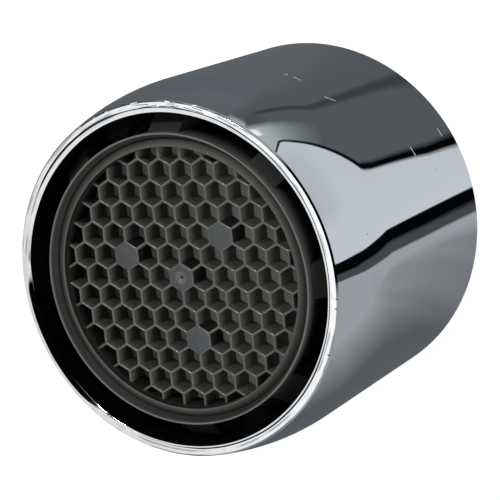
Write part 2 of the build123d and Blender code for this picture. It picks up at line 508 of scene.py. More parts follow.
class SlotTree(RepeatTree):
    """Makes a ring of slots or ribs that point at the axis."""

    def __init__(self, kind: RepeatKind) -> None:
        """Builds the tree: a block turned to the axis at each point of a circle."""
        inputs = dict.fromkeys(("Radius", "Along", "Across", "Tall", "Height"), "NodeSocketFloat")
        super().__init__(f"{kind.name.lower()}_ring", {"Count": "NodeSocketInt"} | inputs)
        bench, given = self.bench, self.given
        circle = bench.add("GeometryNodeMeshCircle", {"Vertices": given["Count"], "Radius": given["Radius"]})
        size = bench.combine(X=given["Along"], Y=given["Across"], Z=given["Tall"])
        block = bench.add("GeometryNodeMeshCube", {"Size": size}).outputs["Mesh"]
        place = bench.add("GeometryNodeInputPosition").outputs[0]
        axes = bench.add("ShaderNodeSeparateXYZ", {0: place}).outputs
        facing = bench.combine(Z=bench.math("ARCTAN2", axes["Y"], axes["X"]))
        points = bench.lift(circle.outputs[0], given["Height"])
        stood = bench.add(
            "GeometryNodeInstanceOnPoints", {"Points": points, "Instance": block, "Rotation": facing}
        )
        self.close(bench.add("GeometryNodeRealizeInstances", {0: stood.outputs[0]}).outputs[0], kind)


class Mark(NamedTuple):
    """A short scratch or a speck on the plating: two ends and a half width, in mm."""

    start: Place
    end: Place
    half_width: float


@dataclass(frozen=True)
class PlatedFinish:
    """Polished chromium plate with fine handling marks."""

    name: str
    colour: Colour
    roughness: Pair
    ripple: float
    scratches: tuple[Mark, ...] = ()
    specks: tuple[Mark, ...] = ()
    scuff: Colour = (0.86, 0.87, 0.88)
    tarnish: Colour = (0.1, 0.103, 0.106)
    speck: Colour = (0.02, 0.02, 0.02)
    rim_level: Pair = (19.88, 19.93)

    def material(self) -> bpy.types.Material:
        """Builds the plate's material on object coordinates."""
        made, bench, shader = new_material(self.name)
        place = bench.add("ShaderNodeTexCoord").outputs["Object"]
        rough = bench.remap(bench.noise(place, 700.0, 4.0), 0.3, 0.7, *self.roughness)
        wave = bench.noise(place, 260.0, 2.0)
        bench.feed(shader.inputs["Normal"], bench.bump(wave, self.ripple))
        if not self.scratches:
            shader.inputs["Base Color"].default_value = (*self.colour, 1.0)
            shader.inputs["Metallic"].default_value = 1.0
            bench.feed(shader.inputs["Roughness"], rough)
            return made
        scuffed = self._cover(bench, place, self.scratches)
        worn = bench.mix(scuffed, self.colour, self.scuff)
        aged = bench.mix(self._rim_wear(bench, place), worn, self.tarnish)
        stained = bench.mix(self._cover(bench, place, self.specks), aged, self.speck)
        bench.feed(shader.inputs["Base Color"], stained)
        bench.feed(shader.inputs["Metallic"], bench.math("MULTIPLY_ADD", scuffed, -0.9, 1.0))
        bench.feed(shader.inputs["Roughness"], bench.math("MULTIPLY_ADD", scuffed, 0.5, rough))
        return made

    def _rim_wear(self, bench: NodeBench, place: bpy.types.NodeSocket) -> bpy.types.NodeSocket:
        """Broken turning lines and a faint tarnish on the outlet rim, from 0 to 1.

        Args:
            bench: The material's bench.
            place: Object coordinates.

        Returns:
            The wear's socket.
        """
        def cloud(scale: float, low: float, high: float, most: float) -> bpy.types.NodeSocket:
            """A noise cut to a range and scaled to its most."""
            return bench.remap(bench.noise(place, scale, 3.0), low, high, 0.0, most)

        away = bench.measure("LENGTH", bench.vector("MULTIPLY", place, (1.0, 1.0, 0.0)))
        wandering = bench.math("ADD", away, cloud(240.0, 0.0, 1.0, 0.4 * MM))
        turning = bench.add(
            "ShaderNodeTexNoise", {"W": wandering, "Scale": 6500.0, "Detail": 2.0}, noise_dimensions="1D"
        )
        line = bench.remap(turning.outputs[0], 0.36, 0.46, 1.0, 0.0)
        broken = bench.math("MULTIPLY", line, cloud(420.0, 0.48, 0.6, 0.62))
        height = bench.measure("DOT_PRODUCT", place, (0.0, 0.0, 1.0))
        on_top = bench.remap(height, *(level * MM for level in self.rim_level))
        return bench.math("MULTIPLY", bench.math("MAXIMUM", broken, cloud(900.0, 0.46, 0.72, 0.16)), on_top)

    @staticmethod
    def _cover(bench: NodeBench, place: bpy.types.NodeSocket, marks: Sequence[Mark]) -> bpy.types.NodeSocket:
        """How far any of the marks covers a point, from 0 to 1.

        Args:
            bench: The material's bench.
            place: Object coordinates.
            marks: Scratches or specks.

        Returns:
            The cover's socket.
        """
        most: object = 0.0
        for mark in marks:
            start, end = Vector(mark.start) * MM, Vector(mark.end) * MM
            axis = end - start
            offset = bench.vector("SUBTRACT", place, tuple(start))
            along = bench.measure("DOT_PRODUCT", offset, tuple(axis / max(axis.length_squared, 1e-12)))
            share = bench.add("ShaderNodeClamp", {"Value": along}).outputs[0]
            nearest = bench.vector("SCALE", tuple(axis))
            bench.feed(nearest.node.inputs["Scale"], share)
            apart = bench.measure("DISTANCE", offset, nearest)
            wide = mark.half_width * MM
            most = bench.math("MAXIMUM", most, bench.remap(apart, 0.4 * wide, wide, 1.0, 0.0))
        return most


@dataclass(frozen=True)
class MouldedFinish:
    """Moulded plastic or rubber with a fine grain, a slight change of shade and, if asked, painted shade that
    darkens it towards one end.
    """

    name: str
    dark: Colour
    light: Colour
    roughness: Pair
    specular: float = 0.5
    # deep is the colour of the painted shade; the next two fields give, in mm, where it gives way to the
    # plain colour and the direction that is measured along.
    deep: Colour | None = None
    fade: Pair = (0.0, 0.0)
    fade_axis: Place = (0.0, 0.0, 1.0)
    grain: float = 4.0e-6
    grain_scale: float = 5200.0

    def material(self) -> bpy.types.Material:
        """Builds the moulded material on object coordinates."""
        made, bench, shader = new_material(self.name)
        shader.inputs["Specular IOR Level"].default_value = self.specular
        place = bench.add("ShaderNodeTexCoord").outputs["Object"]
        shade = bench.mix(bench.remap(bench.noise(place, 420.0, 3.0), 0.3, 0.7), self.dark, self.light)
        # Painted shade: the colour darkens towards deep along the axis, standing in for shade that falls into
        # recesses and gaps.
        if self.deep is not None:
            along = bench.measure("DOT_PRODUCT", place, self.fade_axis)
            shade = bench.mix(bench.remap(along, *(end * MM for end in self.fade)), self.deep, shade)
        bench.feed(shader.inputs["Base Color"], shade)
        grain = bench.noise(place, self.grain_scale, 3.0)
        bench.feed(shader.inputs["Roughness"], bench.remap(grain, 0.3, 0.7, *self.roughness))
        bench.feed(shader.inputs["Normal"], bench.bump(grain, self.grain))
        return made


def on_rim(heading: float, radius: float) -> Place:
    """Place on the rim's flat or chamfer from a heading in degrees and a radius in mm."""
    turn, flat_end, top = math.radians(heading), 11.09, 20.0
    return radius * math.cos(turn), radius * math.sin(turn), top - max(0.0, radius - flat_end)


def rim_marks(half_width: float, *ends: tuple[float, float, float, float]) -> tuple[Mark, ...]:
    """Marks on the rim between pairs of heading and radius."""
    return tuple(Mark(on_rim(a, r), on_rim(b, s), half_width) for a, r, b, s in ends)


SCRATCHES = (
    Mark((4.07, 11.29, 10.69), (4.29, 11.20, 10.58), 0.05),
    Mark((4.66, 11.05, 10.51), (5.16, 10.82, 10.57), 0.05),
    Mark((6.93, 9.79, 10.94), (7.37, 9.45, 10.48), 0.045),
    Mark((10.50, 5.80, 6.67), (10.79, 5.23, 6.59), 0.04),
    Mark((10.29, 6.15, 1.72), (10.59, 5.63, 1.68), 0.04),
) + rim_marks(
    0.06,
    (119.9, 11.12, 119.4, 11.11), (113.6, 11.12, 113.1, 11.12), (108.7, 11.12, 107.8, 11.11),
    (98.5, 11.13, 96.4, 11.16), (86.0, 11.15, 84.6, 11.12), (76.2, 11.13, 75.1, 11.17),
)
SPECKS = (
    Mark((11.32, 3.94, 4.76), (11.33, 3.93, 4.70), 0.05),
    Mark((11.26, 4.09, 9.54), (11.27, 4.08, 9.50), 0.045),
    Mark((11.63, 2.27, 16.34), (11.63, 2.26, 16.30), 0.05),
    Mark((11.85, -0.48, 16.09), (11.85, -0.49, 16.05), 0.05),
    Mark((11.31, -4.00, 8.92), (11.31, -4.01, 8.88), 0.05),
) + rim_marks(
    0.05,
    (-4.3, 11.07, -4.3, 11.14), (-7.4, 11.03, -7.4, 11.1), (26.2, 11.08, 26.2, 11.14),
    (-22.6, 11.02, -22.8, 11.14),
) + rim_marks(
    0.045,
    (106.5, 10.78, 109.5, 10.75), (116.5, 10.69, 118.0, 10.72), (124.0, 10.7, 125.5, 10.73),
    (131.5, 10.67, 133.0, 10.72), (139.0, 10.74, 141.5, 10.76),
) + rim_marks(
    0.03,
    (68.0, 10.8, 74.0, 10.8), (72.0, 10.86, 79.0, 10.92), (77.0, 10.8, 84.0, 10.87),
    (81.0, 10.95, 88.0, 10.84), (86.0, 10.8, 92.0, 10.74), (89.0, 10.9, 95.0, 10.81),
    (60.0, 10.98, 67.0, 11.0), (72.5, 10.99, 76.0, 11.04), (82.5, 11.03, 85.0, 11.0),
    (92.0, 10.97, 97.0, 11.02), (71.0, 11.15, 73.2, 11.13), (79.0, 11.12, 82.4, 11.16),
    (90.0, 11.15, 93.5, 11.11), (100.5, 11.14, 103.5, 11.15), (66.5, 11.16, 68.0, 11.14),
)


@dataclass
class Palette:
    """The finishes of the part, made once and shared by its pieces."""

    polished: PlatedFinish = PlatedFinish(
        "polished_plate", (0.77, 0.78, 0.79), (0.025, 0.05), 1.2e-6, SCRATCHES, SPECKS
    )
    inner: PlatedFinish = PlatedFinish("bore_plate", (0.42, 0.42, 0.43), (0.2, 0.34), 3.0e-6)
    # Painted shade: near-black plating for the bore above the ledge, where the gap round the sleeve lies in
    # shade.
    gap: PlatedFinish = PlatedFinish("gap_plate_painted_shade", (0.05, 0.05, 0.052), (0.25, 0.4), 1.0e-6)
    # Painted shade and dark reflection: near black for the turned groove where the rim's flat meets the lead.
    line: PlatedFinish = PlatedFinish("rim_line_painted_shade", (0.02, 0.02, 0.02), (0.5, 0.7), 1.0e-6)
    # Painted shade: the honeycomb darkens from z 18.97 mm down to 18.2 mm, shade painted into the depths of
    # its cells.
    grey: MouldedFinish = MouldedFinish(
        "grey_moulding", (0.068, 0.068, 0.062), (0.079, 0.079, 0.072), (0.2, 0.28), 0.48,
        (0.054, 0.053, 0.047), (18.2, 18.97),
    )
    # Painted shade and painted reflection: a darker, cooler copy of the honeycomb's moulding for its level
    # tops only.
    cap: MouldedFinish = MouldedFinish(
        "comb_tops_painted_shade", (0.038, 0.043, 0.045), (0.044, 0.05, 0.052), (0.22, 0.3), 0.4
    )
    # Painted shade: the sleeve's moulding is nearly black below z 19.7 mm and reaches its plain colour only
    # at its top lip, z 19.8 mm.
    lip: MouldedFinish = MouldedFinish(
        "lip_moulding", (0.1, 0.1, 0.094), (0.12, 0.12, 0.112), (0.34, 0.42), 0.3,
        (0.024, 0.024, 0.022), (19.7, 19.8),
    )
    # Painted shade: the ring's slope darkens from z 19.48 mm down to 18.3 mm is not it; it darkens from z
    # 19.48 mm down to 19.3 mm, towards its seam with the sleeve.
    slope: MouldedFinish = MouldedFinish(
        "ring_slope", (0.07, 0.07, 0.066), (0.083, 0.083, 0.078), (0.55, 0.65), 0.12,
        (0.026, 0.026, 0.024), (19.3, 19.48),
    )
    # Painted shade: a copy of the sleeve's moulding for its outer wall, fading to near black from z 19.75 mm
    # down to 18.3 mm, into the gap round the sleeve.
    wall: MouldedFinish = MouldedFinish(
        "sleeve_wall_painted_shade", (0.085, 0.083, 0.078), (0.098, 0.096, 0.09), (0.4, 0.5), 0.2,
        (0.006, 0.006, 0.006), (18.3, 19.75),
    )
    # Painted shade: near black for the ring's inner wall and the walls round the filled cells.
    well: MouldedFinish = MouldedFinish(
        "ring_well_painted_shade", (0.009, 0.009, 0.008), (0.014, 0.014, 0.012), (0.5, 0.65), 0.15
    )
    # Painted shade: the centring ribs, moulded with the sleeve, are painted near black where they stand in
    # the gap.
    rib: MouldedFinish = MouldedFinish(
        "rib_painted_shade", (0.016, 0.016, 0.015), (0.021, 0.021, 0.02), (0.5, 0.65), 0.2
    )
    # Painted shade: the mixing grid darkens towards -X, from x 2.5 mm down to -7.5 mm, standing in for shade
    # that falls on that side of it.
    pale: MouldedFinish = MouldedFinish(
        "pale_moulding", (0.34, 0.34, 0.32), (0.4, 0.4, 0.38), (0.5, 0.65), 0.2,
        (0.03, 0.03, 0.028), (-7.5, 2.5), (1.0, 0.12, 0.0),
    )
    dark: MouldedFinish = MouldedFinish(
        "dark_moulding", (0.05, 0.05, 0.05), (0.07, 0.07, 0.068), (0.5, 0.65)
    )
    rubber: MouldedFinish = MouldedFinish(
        "washer_rubber", (0.012, 0.012, 0.012), (0.022, 0.022, 0.021), (0.7, 0.88), 0.3,
        grain=9.0e-6, grain_scale=3600.0,
    )
    made: dict[str, bpy.types.Material] = field(default_factory=dict)

    def take(self, finish: PlatedFinish | MouldedFinish) -> bpy.types.Material:
        """The material of a finish, built on its first use."""
        if finish.name not in self.made:
            self.made[finish.name] = finish.material()
        return self.made[finish.name]


def dress_faces(
    piece: bpy.types.Object,
    finish: bpy.types.Material,
    wanted: Callable[[np.ndarray, np.ndarray], np.ndarray],
) -> None:
    """Gives some faces of a piece a further finish.

    Args:
        piece: Object with its mesh in mm and its first finish on it.
        finish: The further material.
        wanted: Tells from the faces' radii and middles, in mm, which of them take it.
    """
    mesh = piece.data
    chosen = np.zeros(len(mesh.polygons), np.int32)
    mesh.polygons.foreach_get("material_index", chosen)
    chosen[wanted(*face_middles(mesh))] = len(mesh.materials)
    mesh.materials.append(finish)
    mesh.polygons.foreach_set("material_index", chosen)


def settle(piece: bpy.types.Object, node: str, crease: float) -> None:
    """Brings a piece to metres, shades it with level faces flat, and stands it in for its CAD node.

    Args:
        piece: Object with its mesh in mm.
        node: CAD node that it stands for.
        crease: Edges that turn by more than this, in degrees, stay sharp.
    """
    mesh, level = piece.data, 0.99999
    mesh.transform(Matrix.Scale(MM, 4))
    mesh.shade_smooth()
    normals = np.empty(len(mesh.polygons) * 3)
    mesh.polygons.foreach_get("normal", normals)
    mesh.polygons.foreach_set("use_smooth", np.abs(normals[2::3]) < level)
    mesh.set_sharp_from_angle(angle=math.radians(crease))
    mesh.update()
    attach(piece, "root")
    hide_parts(node)
    LOG.info("%s: %d faces, stands for %s", piece.name, len(mesh.polygons), node)


class Swell(NamedTuple):
    """A smooth rise round a heading in degrees: cosines at which it starts and is full, and its size."""

    heading: float
    start: float
    full: float
    size: float


def swollen(angle: np.ndarray, swells: Sequence[Swell]) -> np.ndarray:
    """The swells' sum at headings in radians."""
    return sum(s.size * smooth_step(s.start, s.full, np.cos(angle - math.radians(s.heading))) for s in swells)


@dataclass
class Shell:
    """The turned and plated brass shell."""

    body_radius: float
    length: float
    bore_radius: float = 10.45
    shoulder_length: float = 6.2
    shoulder_steps: int = 28
    body_steps: int = 6
    rim_width: float = 0.75
    rim_chamfer: float = 0.11
    lead_width: float = 0.25
    lead_drop: float = 0.14
    lead_tilt: float = 29.2
    line_half_width: float = 0.05
    line_depth: float = 0.07
    line_inset: float = -0.05
    line_swells: tuple[Swell, ...] = (
        Swell(88.0, -0.1, 0.6, 0.13),
        Swell(-155.0, math.cos(math.radians(32.0)), math.cos(math.radians(18.0)), 0.24),
    )
    line_closed: float = 0.12
    line_openings: tuple[Swell, ...] = (
        Swell(28.0, -0.55, -0.4, 0.5), Swell(-60.0, 0.75, 0.87, 0.5),
        Swell(46.0, 0.93, 0.96, 0.2), Swell(127.0, 0.9, 0.96, 0.55),
    )
    mouth_swells: tuple[Swell, ...] = (Swell(-10.0, 0.0, 0.5, 0.05),)
    mouth_lean: float = 0.13
    mouth_heading: float = -140.0
    inlet_chamfer: float = 0.15
    thread_length: float = 7.5
    thread_pitch: float = 1.0
    thread_depth: float = 0.5
    thread_rings: int = 12
    thread_crest: float = 0.125
    thread_flank: float = 0.3125
    entry_chamfer: float = 0.6
    chamber_relief: float = 0.35
    ledge_radius: float = 9.35
    ledge_bottom: float = 10.6
    ledge_top: float = 11.8
    crease: float = 50.0
    segments: int = 384

    def outline(self) -> list[Pair]:
        """Outline of the shell from the inlet up the outside, over the rim and down the bore."""
        top, body, bore = self.length, self.body_radius, self.bore_radius
        rim, chamber = bore + self.rim_width, bore + self.chamber_relief
        low, edge = top - self.shoulder_length, top - self.rim_chamfer
        run, drop = edge - low, body - rim
        arc = (run * run + drop * drop) / (2.0 * drop)
        sweep = math.asin(run / arc)
        foot, steps = self.inlet_chamfer, self.body_steps
        corners = [Corner(body - foot, 0.0, 0.04), Corner(body, foot, 0.06)]
        corners += [Corner(body, foot + (low - foot) * k / steps) for k in range(1, steps)]
        for step in range(self.shoulder_steps):
            turn = sweep * step / self.shoulder_steps
            corners.append(Corner(body - arc * (1.0 - math.cos(turn)), low + arc * math.sin(turn)))
        line, half = self._line_radius(), self.line_half_width
        corners += [
            Corner(rim, edge, 0.02),
            Corner(rim - self.rim_chamfer, top, 0.03),
            Corner(line + half, top, 0.012),
            Corner(line, top - self.line_depth, 0.012),
            Corner(line - half, top - half * self.lead_drop / self.lead_width, 0.012),
            Corner(bore, top - self.lead_drop, 0.03),
            Corner(bore, self.ledge_top, 0.1),
            Corner(self.ledge_radius, self.ledge_top, 0.05),
            Corner(self.ledge_radius, self.ledge_bottom, 0.05),
            Corner(chamber, self.ledge_bottom, 0.08),
            Corner(chamber, self.thread_length, 0.05),
            Corner(bore, self.thread_length, 0.04),
            Corner(bore, self.entry_chamfer, 0.03),
            Corner(bore + self.entry_chamfer, 0.0, 0.05),
        ]
        return self._thread_rows(rounded(corners, OutlineKind.RING))

    def _line_radius(self) -> float:
        """Radius of the turned line where the rim's flat meets the lead into the bore."""
        return self.bore_radius + self.lead_width

    def _thread_rows(self, points: list[Pair]) -> list[Pair]:
        """Adds closely spaced rows on the bore where the thread is cut."""
        margin, long_run = 0.1, 3.0
        count = int((self.thread_length - self.entry_chamfer) / self.thread_pitch * self.thread_rings)
        heights = np.linspace(self.thread_length - margin, self.entry_chamfer + margin, count)
        rows = [(self.bore_radius, float(h)) for h in heights]
        spot = next(
            i for i, (a, b) in enumerate(zip(points, points[1:]))
            if a[1] - b[1] > long_run and abs(a[0] - self.bore_radius) < 1e-6 and a[1] < self.thread_length
        )
        return points[: spot + 1] + rows + points[spot + 1:]

    def _wear(self, places: np.ndarray) -> np.ndarray:
        """Cuts the thread and gives the rim its uneven turned line.

        Args:
            places: Vertex places in mm.

        Returns:
            The moved places.
        """
        radius = np.hypot(places[:, 0], places[:, 1])
        angle = np.arctan2(places[:, 1], places[:, 0])
        height = places[:, 2]
        in_bore = (np.abs(radius - self.bore_radius) < 0.01) & (height < self.thread_length)
        phase = np.mod(height / self.thread_pitch - angle / TURN, 1.0)
        flank = np.clip((0.5 - np.abs(phase - 0.5) - self.thread_crest) / self.thread_flank, 0.0, 1.0)
        run_out = smooth_step(self.entry_chamfer, self.entry_chamfer + 0.6, height)
        run_out *= 1.0 - smooth_step(self.thread_length - 0.9, self.thread_length - 0.2, height)
        radius = radius + np.where(in_bore, self.thread_depth * flank * run_out, 0.0)
        radius, height = self._rim_wander(radius, angle, height)
        return np.stack([radius * np.cos(angle), radius * np.sin(angle), height], axis=1)

    def _rim_wander(
        self, radius: np.ndarray, angle: np.ndarray, height: np.ndarray
    ) -> tuple[np.ndarray, np.ndarray]:
        """Lets the turned line wander over the rim and the lead follow it.

        Args:
            radius: Radii in mm.
            angle: Headings in radians.
            height: Heights in mm.

        Returns:
            The moved radii and heights.
        """
        top, bore, line = self.length, self.bore_radius, self._line_radius()
        flat_end = bore + self.rim_width - 0.2
        on_rim_top = (height > top - 0.3) & (radius < flat_end)
        wander = swollen(angle, self.line_swells) + self.line_inset
        wander += 0.01 * np.sin(5.0 * angle + 0.6) + 0.006 * np.sin(17.0 * angle)
        lean = np.clip(np.cos(angle - math.radians(self.mouth_heading)), 0.0, 1.0)
        mouth = bore + self.mouth_lean * lean + swollen(angle, self.mouth_swells)
        opened = self.line_closed + swollen(angle, self.line_openings)
        in_line = on_rim_top & (np.abs(radius - line) < self.line_half_width + 0.015)
        radius = np.where(in_line, line + (radius - line) * opened, radius)
        height = np.where(in_line, top - (top - height) * opened, height)
        share = (radius - bore) / (line - bore)
        wide = line + wander - mouth
        drop = wide * math.tan(math.radians(self.lead_tilt)) - self.lead_drop
        lead = on_rim_top & (radius <= line)
        flat = on_rim_top & (radius > line)
        moved = np.where(lead, mouth + share * wide, radius)
        moved = np.where(flat, radius + wander * (flat_end - radius) / (flat_end - line), moved)
        return moved, np.where(lead, height - (1.0 - share) * drop, height)

    def build(self, palette: Palette) -> bpy.types.Object:
        """Makes and dresses the shell.

        Args:
            palette: The finishes.

        Returns:
            The shell object.
        """
        piece = lathe("plated_shell", self.outline(), OutlineKind.RING, self.segments)
        mesh = piece.data
        radius, middles = face_middles(mesh)
        height = middles[:, 2]
        places = np.empty(len(mesh.vertices) * 3)
        mesh.vertices.foreach_get("co", places)
        mesh.vertices.foreach_set("co", self._wear(places.reshape(-1, 3)).ravel())
        for finish in (palette.polished, palette.inner, palette.gap, palette.line):
            mesh.materials.append(palette.take(finish))
        inside = (radius < self.bore_radius + self.chamber_relief + 0.03) & (height > 0.3)
        inside &= height < self.length - self.lead_drop - 0.02
        # Painted shade on the bore above the ledge.
        in_gap_shade = inside & (height > self.ledge_top - 0.05)
        # Painted shade and dark reflection in the rim's turned groove.
        in_line = (np.abs(radius - self._line_radius()) < self.line_half_width) & (height > self.length - 0.1)
        chosen = np.select([in_line, in_gap_shade, inside], [3, 2, 1], 0)
        mesh.polygons.foreach_set("material_index", chosen.astype(np.int32))
        settle(piece, "shell", self.crease)
        return piece


@dataclass
class Washer:
    """The flat rubber sealing washer."""

    inner: float = 7.4
    outer: float = 10.3
    bottom: float = 7.5
    top: float = 9.3
    rounding: float = 0.15
    crease: float = 50.0
    segments: int = 128

    def build(self, palette: Palette) -> bpy.types.Object:
        """Makes and dresses the washer."""
        spots = (
            (self.inner, self.bottom), (self.outer, self.bottom),
            (self.outer, self.top), (self.inner, self.top),
        )
        corners = [Corner(*spot, self.rounding) for spot in spots]
        piece = turned("rubber_washer", corners, OutlineKind.RING, self.segments)
        piece.data.materials.append(palette.take(palette.rubber))
        settle(piece, "sealing_washer", self.crease)
        return piece


@dataclass
class Insert:
    """The moulded insert: sleeve, strainer, jet plate, mixing grid and outlet honeycomb."""

    sleeve_radius: float = 9.2
    sleeve_bore: float = 8.25
    pocket_radius: float = 8.93
    plate_radius: float = 8.88
    flange_radius: float = 10.25
    flange_bottom: float = 9.3
    ledge_bottom: float = 10.6
    sleeve_top: float = 19.8
    rib_count: int = 8
    rib_radius: float = 10.3
    rib_root: float = 0.12
    rib_width: float = 2.2
    rib_bottom: float = 15.0
    rib_top: float = 19.3
    rib_fall: float = 1.3
    jet_bottom: float = 9.9
    jet_top: float = 11.0
    jet_length: float = 1.5
    boss_radius: float = 3.5
    boss_height: float = 0.8
    grid_bottom: float = 16.49
    grid_flats: float = 0.8
    grid_solid_edge: float = 1.0
    comb_bottom: float = 17.34
    comb_top: float = 19.0
    comb_lip_top: float = 19.49
    comb_lip_radius: float = 8.34
    comb_band: float = 18.9
    filled_cells: tuple[tuple[int, int], ...] = ((0, 0), (-2, -1), (3, -2), (-1, 3))
    crest_width: float = 0.1
    snap_radius: float = 8.82
    snap_top: float = 19.28
    snap_bottom: float = 18.97
    seam: float = 0.025
    dimple_radius: float = 0.35
    dimple_depth: float = 0.12
    pin_radius: float = 0.08
    pin_depth: float = 0.3
    cell_pitch: float = 1.525
    web: float = 0.17
    strainer_bottom: float = 8.1
    strainer_radius: float = 7.2
    strainer_wall: float = 0.6
    strainer_sieve: float = 0.6
    strainer_pitch: float = 1.9
    strainer_flats: float = 1.2
    plate_crease: float = 35.0
    comb_crease: float = 28.0
    segments: int = 192

    def _sleeve(self, palette: Palette, slots: SlotTree, ribs: SlotTree) -> bpy.types.Object:
        """The sleeve with its flange, pockets, air slots and the ribs that centre it in the bore."""
        piece = turned("insert_tube", [
            Corner(self.pocket_radius, self.flange_bottom, 0.05),
            Corner(self.flange_radius, self.flange_bottom, 0.2),
            Corner(self.flange_radius, self.ledge_bottom, 0.08),
            Corner(self.sleeve_radius, self.ledge_bottom, 0.05),
            Corner(self.sleeve_radius, self.sleeve_top, 0.06),
            Corner(self.sleeve_radius - self.crest_width, self.sleeve_top, 0.03),
            Corner(self.snap_radius, self.snap_top, 0.05),
            Corner(self.snap_radius, self.snap_bottom, 0.03),
            Corner(self.pocket_radius, self.snap_bottom, 0.02),
            Corner(self.pocket_radius, self.grid_bottom, 0.03),
            Corner(self.sleeve_bore, self.grid_bottom, 0.05),
            Corner(self.sleeve_bore, self.jet_top, 0.05),
            Corner(self.pocket_radius, self.jet_top, 0.03),
        ], OutlineKind.RING, self.segments)
        air = SlotRing(count=8, radius=self.sleeve_radius - 0.5, along=2.6, across=3.4, tall=2.4, height=13.3)
        # The sleeve's finish carries painted shade below its top lip.
        slots.run(piece, air.values(), palette.take(palette.lip))
        root, tall = self.sleeve_radius - self.rib_root, self.rib_top - self.rib_bottom
        centring = SlotRing(
            count=self.rib_count, radius=(root + self.rib_radius) / 2.0, along=self.rib_radius - root,
            across=self.rib_width, tall=tall, height=self.rib_top - tall / 2.0,
        )
        ribs.run(piece, centring.values(), palette.take(palette.lip))
        near = 0.01
        for vertex in piece.data.vertices:
            if vertex.co.z > self.rib_top - near and vertex.co.xy.length > self.rib_radius - near:
                vertex.co.z -= self.rib_fall
        edge, low = self.sleeve_radius - near, self.ledge_bottom + 0.1
        # Painted shade on the sleeve's outer wall, down into the gap.
        dress_faces(piece, palette.take(palette.wall), lambda r, p: (r > edge) & (p[:, 2] > low))
        clear = edge + 0.1
        # Painted shade on the ribs in the gap.
        dress_faces(piece, palette.take(palette.rib), lambda r, p: (r > clear) & (p[:, 2] >= self.rib_bottom))
        settle(piece, "insert_sleeve", self.plate_crease)
        return piece

    def _strainer(self, palette: Palette, cells: HexTree) -> bpy.types.Object:
        """The sieve cap inside the washer."""
        inner = self.strainer_radius - self.strainer_wall
        floor = self.strainer_bottom + self.strainer_sieve
        piece = turned("inlet_strainer", [
            Corner(0.0, self.strainer_bottom),
            Corner(self.strainer_radius, self.strainer_bottom, 0.2),
            Corner(self.strainer_radius, self.flange_bottom, 0.05),
            Corner(self.plate_radius, self.flange_bottom, 0.06),
            Corner(self.plate_radius, self.jet_bottom, 0.06),
            Corner(inner, self.jet_bottom, 0.06),
            Corner(inner, floor, 0.08),
            Corner(0.0, floor),
        ], OutlineKind.CORE, self.segments)
        sieve = HexField(
            pitch=self.strainer_pitch, flats=self.strainer_flats, bottom=self.strainer_bottom, top=floor,
            reach=inner - self.strainer_flats / ROOT3, clip_radius=inner - 0.02,
            rounding=0.05, foot_rounding=0.05,
        )
        cells.run(piece, sieve.values(), palette.take(palette.dark))
        settle(piece, "strainer", self.plate_crease)
        return piece

    def _jet_plate(self, palette: Palette, slots: SlotTree) -> bpy.types.Object:
        """The disc of jet slots with its flow-turning boss."""
        crown = self.jet_top + self.boss_height
        piece = turned("jet_disc", [
            Corner(0.0, self.jet_bottom),
            Corner(self.plate_radius, self.jet_bottom, 0.06),
            Corner(self.plate_radius, self.jet_top, 0.06),
            Corner(self.boss_radius, self.jet_top, 0.1),
            Corner(self.boss_radius - 0.4, crown, 0.2),
            Corner(0.0, crown),
        ], OutlineKind.CORE, self.segments)
        jets = SlotRing(
            count=20, radius=self.sleeve_bore - 0.5 - self.jet_length / 2.0, along=self.jet_length,
            across=0.6, tall=2.0, height=(self.jet_bottom + self.jet_top) / 2.0,
        )
        slots.run(piece, jets.values(), palette.take(palette.dark))
        settle(piece, "jet_plate", self.plate_crease)
        return piece

    def _grid(self, palette: Palette, cells: HexTree) -> bpy.types.Object:
        """The mixing grid behind the honeycomb, with each hole to one side of the cell in front."""
        piece = turned("mixing_disc", [
            Corner(0.0, self.grid_bottom),
            Corner(self.plate_radius, self.grid_bottom, 0.05),
            Corner(self.plate_radius, self.comb_bottom, 0.05),
            Corner(0.0, self.comb_bottom),
        ], OutlineKind.CORE, self.segments)
        holes = HexField(
            pitch=self.cell_pitch, flats=self.grid_flats, bottom=self.grid_bottom, top=self.comb_bottom,
            reach=self.sleeve_bore - self.grid_solid_edge - self.grid_flats / ROOT3,
            clip_radius=self.sleeve_bore, rounding=0.03, foot_rounding=0.03,
            shift=(self.cell_pitch / 4.0, 0.0),
        )
        # The grid's finish carries painted shade towards -X.
        cells.run(piece, holes.values(), palette.take(palette.pale))
        settle(piece, "mixing_grid", self.plate_crease)
        return piece

    def _honeycomb(self, palette: Palette, cells: HexTree) -> bpy.types.Object:
        """The outlet honeycomb with its ring, filled cells and gate dimple."""
        latch = self.snap_radius - self.seam
        piece = turned("outlet_comb", [
            Corner(0.0, self.comb_top - self.pin_depth),
            Corner(self.pin_radius, self.comb_top - self.pin_depth),
            Corner(self.pin_radius, self.comb_top - self.dimple_depth, 0.02),
            Corner(self.dimple_radius, self.comb_top, 0.1),
            Corner(self.sleeve_bore, self.comb_top, 0.03),
            Corner(self.comb_lip_radius - 0.06, self.comb_lip_top - 0.04, 0.03),
            Corner(self.comb_lip_radius, self.comb_lip_top, 0.04),
            Corner(latch, self.snap_top - 0.03, 0.04),
            Corner(latch, self.comb_band, 0.03),
            Corner(self.plate_radius, self.comb_band, 0.02),
            Corner(self.plate_radius, self.comb_bottom, 0.05),
            Corner(0.0, self.comb_bottom),
        ], OutlineKind.CORE, self.segments)
        lattice = HexField(
            pitch=self.cell_pitch, flats=self.cell_pitch - self.web, bottom=self.comb_bottom,
            top=self.comb_top, reach=self.sleeve_bore + 0.3, clip_radius=self.sleeve_bore - 0.02,
            rounding=0.08, foot_rounding=0.006, filled=self.filled_cells,
        )
